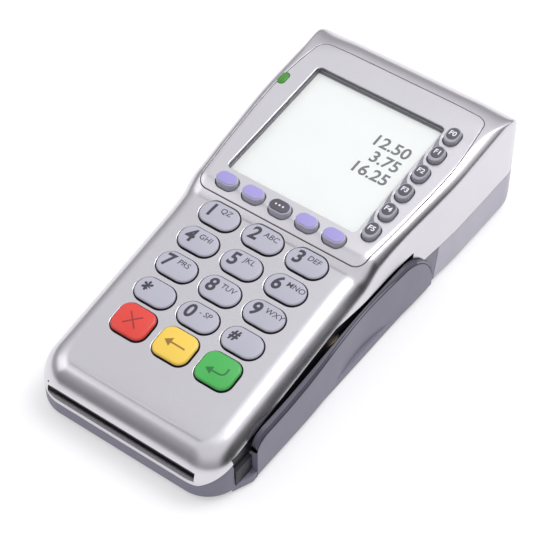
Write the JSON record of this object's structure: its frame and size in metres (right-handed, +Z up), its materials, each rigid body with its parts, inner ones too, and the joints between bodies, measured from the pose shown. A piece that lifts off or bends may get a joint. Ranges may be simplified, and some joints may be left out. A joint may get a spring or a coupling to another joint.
{
  "type": "payment terminal",
  "caption": "Hand-held card payment terminal with a display, a keypad, a swipe slot along its right side, a card slot in its nose and a receipt printer behind a lower door.",
  "frame": {"origin": "middle of the footprint, on the plane that the rubber feet stand on", "axes": "+X to the user's right, +Y from the keypad end to the printer end, +Z up"},
  "size_m": [0.0916, 0.198, 0.052],
  "materials": {
    "case_silver": "satin metallic paint on moulded plastic",
    "panel_silver": "satin metallic paint on moulded plastic",
    "lens": "clear",
    "lcd": "pale, evenly lit",
    "circuit_board": "solder mask",
    "light_green": "translucent",
    "base_grey": "fine texture",
    "door_grey": "fine texture",
    "black_plastic": "satin",
    "dark_plastic": "satin",
    "gear_plastic": "satin",
    "steel": "brushed",
    "grey_rubber": "matt",
    "black_rubber": "matt",
    "ceramic_strip": "polished",
    "paper": "matt",
    "key_light": "satin",
    "key_red": "satin",
    "key_yellow": "satin",
    "key_green": "satin",
    "key_purple": "satin",
    "key_dark": "satin"
  },
  "bodies": {
    "case": {"top_case": "case_silver", "display_panel": "panel_silver", "display_lens": "lens", "lcd_module": "lcd", "display_board": "circuit_board", "status_light": "light_green", "base_shell": "base_grey", "swipe_liner": "black_plastic", "mag_head_spring": "steel", "keypad_mat": "grey_rubber", "keypad_board": "circuit_board", "main_board": "circuit_board", "card_reader": "black_plastic", "hinge_mounts": "dark_plastic", "hinge_pin": "steel", "printer_frame": "steel", "head_spring": "steel", "stepper_motor": "steel", "idler_axle": "steel", "rubber_feet": "black_rubber", "case_screws": "steel"},
    "door": {"paper_door": "door_grey", "hinge_arms": "dark_plastic", "platen_carrier": "dark_plastic"},
    "platen": {"platen_shaft": "steel", "platen_rubber": "black_rubber", "platen_gear": "gear_plastic"},
    "idler": {"idler_gear": "gear_plastic"},
    "pinion": {"motor_pinion": "gear_plastic"},
    "roll": {"paper_roll": "paper"},
    "print_head": {"thermal_head": "ceramic_strip"},
    "reader_head": {"mag_head": "steel"},
    "battery": {"battery_pack": "base_grey"},
    "key_1": {"key_1": "key_light"},
    "key_2": {"key_2": "key_light"},
    "key_3": {"key_3": "key_light"},
    "key_4": {"key_4": "key_light"},
    "key_5": {"key_5": "key_light"},
    "key_6": {"key_6": "key_light"},
    "key_7": {"key_7": "key_light"},
    "key_8": {"key_8": "key_light"},
    "key_9": {"key_9": "key_light"},
    "key_star": {"key_star": "key_light"},
    "key_0": {"key_0": "key_light"},
    "key_hash": {"key_hash": "key_light"},
    "key_cancel": {"key_cancel": "key_red"},
    "key_clear": {"key_clear": "key_yellow"},
    "key_enter": {"key_enter": "key_green"},
    "soft_key_1": {"soft_key_1": "key_purple"},
    "soft_key_2": {"soft_key_2": "key_purple"},
    "soft_key_3": {"soft_key_3": "key_purple"},
    "soft_key_4": {"soft_key_4": "key_purple"},
    "soft_key_middle": {"soft_key_middle": "key_dark"},
    "function_key_0": {"function_key_0": "key_dark"},
    "function_key_1": {"function_key_1": "key_dark"},
    "function_key_2": {"function_key_2": "key_dark"},
    "function_key_3": {"function_key_3": "key_dark"},
    "function_key_4": {"function_key_4": "key_dark"},
    "function_key_5": {"function_key_5": "key_dark"}
  },
  "joints": [
    {"name": "door_hinge", "type": "hinge", "parent": "case", "child": "door", "pos_m": [0, 0.0414, 0.005], "axis": [-1, 0, 0], "range_deg": [0, 70]},
    {"name": "platen_spin", "type": "hinge", "parent": "door", "child": "platen", "pos_m": [0, 0.0865, 0.015], "axis": [1, 0, 0], "continuous": true},
    {"name": "idler_spin", "type": "hinge", "parent": "case", "child": "idler", "pos_m": [0, 0.07909, 0.02519], "axis": [1, 0, 0], "continuous": true},
    {"name": "pinion_spin", "type": "hinge", "parent": "case", "child": "pinion", "pos_m": [0, 0.0882, 0.031], "axis": [1, 0, 0], "continuous": true},
    {"name": "roll_spin", "type": "hinge", "parent": "case", "child": "roll", "pos_m": [0, 0.0638, 0.0208], "axis": [1, 0, 0], "continuous": true},
    {"name": "head_tilt", "type": "hinge", "parent": "case", "child": "print_head", "pos_m": [0, 0.0832, 0.0229], "axis": [1, 0, 0], "range_deg": [0, 2.5], "stiffness_Nm_per_rad": 0.5, "springref_deg": -2.29},
    {"name": "reader_head_slide", "type": "slide", "parent": "case", "child": "reader_head", "axis": [-1, 0, 0], "range_m": [0, 0.0005], "stiffness_N_per_m": 1500, "springref_m": -0.0004},
    {"name": "battery_slide", "type": "slide", "parent": "case", "child": "battery", "axis": [0, 0, -1], "range_m": [0, 0.02]},
    {"name": "press_key_1", "type": "slide", "parent": "case", "child": "key_1", "axis": [0, 0.184, -0.9829], "range_m": [0, 0.0012], "stiffness_N_per_m": 900, "springref_m": -0.0003},
    {"name": "press_key_2", "type": "slide", "parent": "case", "child": "key_2", "axis": [0, 0.184, -0.9829], "range_m": [0, 0.0012], "stiffness_N_per_m": 900, "springref_m": -0.0003},
    {"name": "press_key_3", "type": "slide", "parent": "case", "child": "key_3", "axis": [0, 0.184, -0.9829], "range_m": [0, 0.0012], "stiffness_N_per_m": 900, "springref_m": -0.0003},
    {"name": "press_key_4", "type": "slide", "parent": "case", "child": "key_4", "axis": [0, 0.184, -0.9829], "range_m": [0, 0.0012], "stiffness_N_per_m": 900, "springref_m": -0.0003},
    {"name": "press_key_5", "type": "slide", "parent": "case", "child": "key_5", "axis": [0, 0.184, -0.9829], "range_m": [0, 0.0012], "stiffness_N_per_m": 900, "springref_m": -0.0003},
    {"name": "press_key_6", "type": "slide", "parent": "case", "child": "key_6", "axis": [0, 0.184, -0.9829], "range_m": [0, 0.0012], "stiffness_N_per_m": 900, "springref_m": -0.0003},
    {"name": "press_key_7", "type": "slide", "parent": "case", "child": "key_7", "axis": [0, 0.184, -0.9829], "range_m": [0, 0.0012], "stiffness_N_per_m": 900, "springref_m": -0.0003},
    {"name": "press_key_8", "type": "slide", "parent": "case", "child": "key_8", "axis": [0, 0.184, -0.9829], "range_m": [0, 0.0012], "stiffness_N_per_m": 900, "springref_m": -0.0003},
    {"name": "press_key_9", "type": "slide", "parent": "case", "child": "key_9", "axis": [0, 0.184, -0.9829], "range_m": [0, 0.0012], "stiffness_N_per_m": 900, "springref_m": -0.0003},
    {"name": "press_key_star", "type": "slide", "parent": "case", "child": "key_star", "axis": [0, 0.184, -0.9829], "range_m": [0, 0.0012], "stiffness_N_per_m": 900, "springref_m": -0.0003},
    {"name": "press_key_0", "type": "slide", "parent": "case", "child": "key_0", "axis": [0, 0.184, -0.9829], "range_m": [0, 0.0012], "stiffness_N_per_m": 900, "springref_m": -0.0003},
    {"name": "press_key_hash", "type": "slide", "parent": "case", "child": "key_hash", "axis": [0, 0.184, -0.9829], "range_m": [0, 0.0012], "stiffness_N_per_m": 900, "springref_m": -0.0003},
    {"name": "press_key_cancel", "type": "slide", "parent": "case", "child": "key_cancel", "axis": [0, 0.184, -0.9829], "range_m": [0, 0.0012], "stiffness_N_per_m": 900, "springref_m": -0.0003},
    {"name": "press_key_clear", "type": "slide", "parent": "case", "child": "key_clear", "axis": [0, 0.184, -0.9829], "range_m": [0, 0.0012], "stiffness_N_per_m": 900, "springref_m": -0.0003},
    {"name": "press_key_enter", "type": "slide", "parent": "case", "child": "key_enter", "axis": [0, 0.184, -0.9829], "range_m": [0, 0.0012], "stiffness_N_per_m": 900, "springref_m": -0.0003},
    {"name": "press_soft_key_1", "type": "slide", "parent": "case", "child": "soft_key_1", "axis": [0, 0.108, -0.9942], "range_m": [0, 0.0012], "stiffness_N_per_m": 900, "springref_m": -0.0003},
    {"name": "press_soft_key_2", "type": "slide", "parent": "case", "child": "soft_key_2", "axis": [0, 0.108, -0.9942], "range_m": [0, 0.0012], "stiffness_N_per_m": 900, "springref_m": -0.0003},
    {"name": "press_soft_key_3", "type": "slide", "parent": "case", "child": "soft_key_3", "axis": [0, 0.108, -0.9942], "range_m": [0, 0.0012], "stiffness_N_per_m": 900, "springref_m": -0.0003},
    {"name": "press_soft_key_4", "type": "slide", "parent": "case", "child": "soft_key_4", "axis": [0, 0.108, -0.9942], "range_m": [0, 0.0012], "stiffness_N_per_m": 900, "springref_m": -0.0003},
    {"name": "press_soft_key_middle", "type": "slide", "parent": "case", "child": "soft_key_middle", "axis": [0, 0.108, -0.9942], "range_m": [0, 0.0012], "stiffness_N_per_m": 900, "springref_m": -0.0003},
    {"name": "press_function_key_0", "type": "slide", "parent": "case", "child": "function_key_0", "axis": [0, 0.108, -0.9942], "range_m": [0, 0.0012], "stiffness_N_per_m": 900, "springref_m": -0.0003},
    {"name": "press_function_key_1", "type": "slide", "parent": "case", "child": "function_key_1", "axis": [0, 0.108, -0.9942], "range_m": [0, 0.0012], "stiffness_N_per_m": 900, "springref_m": -0.0003},
    {"name": "press_function_key_2", "type": "slide", "parent": "case", "child": "function_key_2", "axis": [0, 0.108, -0.9942], "range_m": [0, 0.0012], "stiffness_N_per_m": 900, "springref_m": -0.0003},
    {"name": "press_function_key_3", "type": "slide", "parent": "case", "child": "function_key_3", "axis": [0, 0.108, -0.9942], "range_m": [0, 0.0012], "stiffness_N_per_m": 900, "springref_m": -0.0003},
    {"name": "press_function_key_4", "type": "slide", "parent": "case", "child": "function_key_4", "axis": [0, 0.108, -0.9942], "range_m": [0, 0.0012], "stiffness_N_per_m": 900, "springref_m": -0.0003},
    {"name": "press_function_key_5", "type": "slide", "parent": "case", "child": "function_key_5", "axis": [0, 0.108, -0.9942], "range_m": [0, 0.0012], "stiffness_N_per_m": 900, "springref_m": -0.0003}
  ],
  "couplings": [
    {"joint": "idler_spin", "follows": "platen_spin", "ratio": -0.75},
    {"joint": "pinion_spin", "follows": "platen_spin", "ratio": 1.5}
  ]
}
